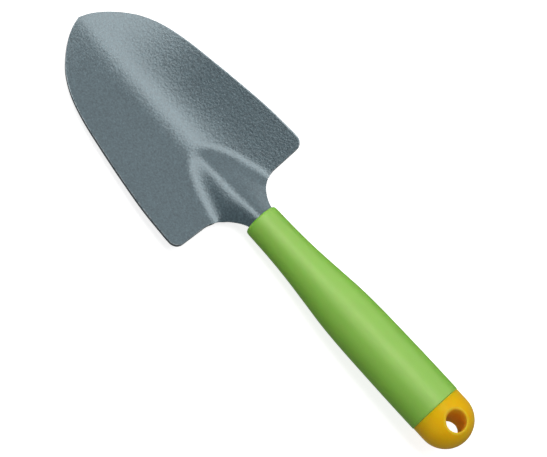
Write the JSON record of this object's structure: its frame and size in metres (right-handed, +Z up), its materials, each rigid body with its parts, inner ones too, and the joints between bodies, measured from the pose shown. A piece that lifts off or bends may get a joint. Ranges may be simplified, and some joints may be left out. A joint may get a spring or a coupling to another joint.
{
  "type": "hand trowel",
  "caption": "Garden hand trowel: dished pressed steel blade with a stamped neck, a green grip sleeve and a yellow domed handle end with a hanging hole.",
  "frame": {"origin": "on the flat surface that the trowel lies on, below the middle of its length", "axes": "+X along the length towards the tip of the blade, +Y across the blade, +Z up, out of the scoop; the trowel lies on its back, so the handle's axis dips about 4 degrees towards the blade"},
  "size_m": [0.2997, 0.09, 0.0356],
  "materials": {
    "painted_steel": "blue-grey hammered-effect powder coat, satin",
    "core_plastic": "golden yellow polypropylene, semi-gloss moulded",
    "grip_plastic": "apple green moulded grip, smooth satin"
  },
  "bodies": {
    "root": {"blade": "painted_steel", "handle_core": "core_plastic", "grip_sleeve": "grip_plastic"}
  },
  "joints": []
}
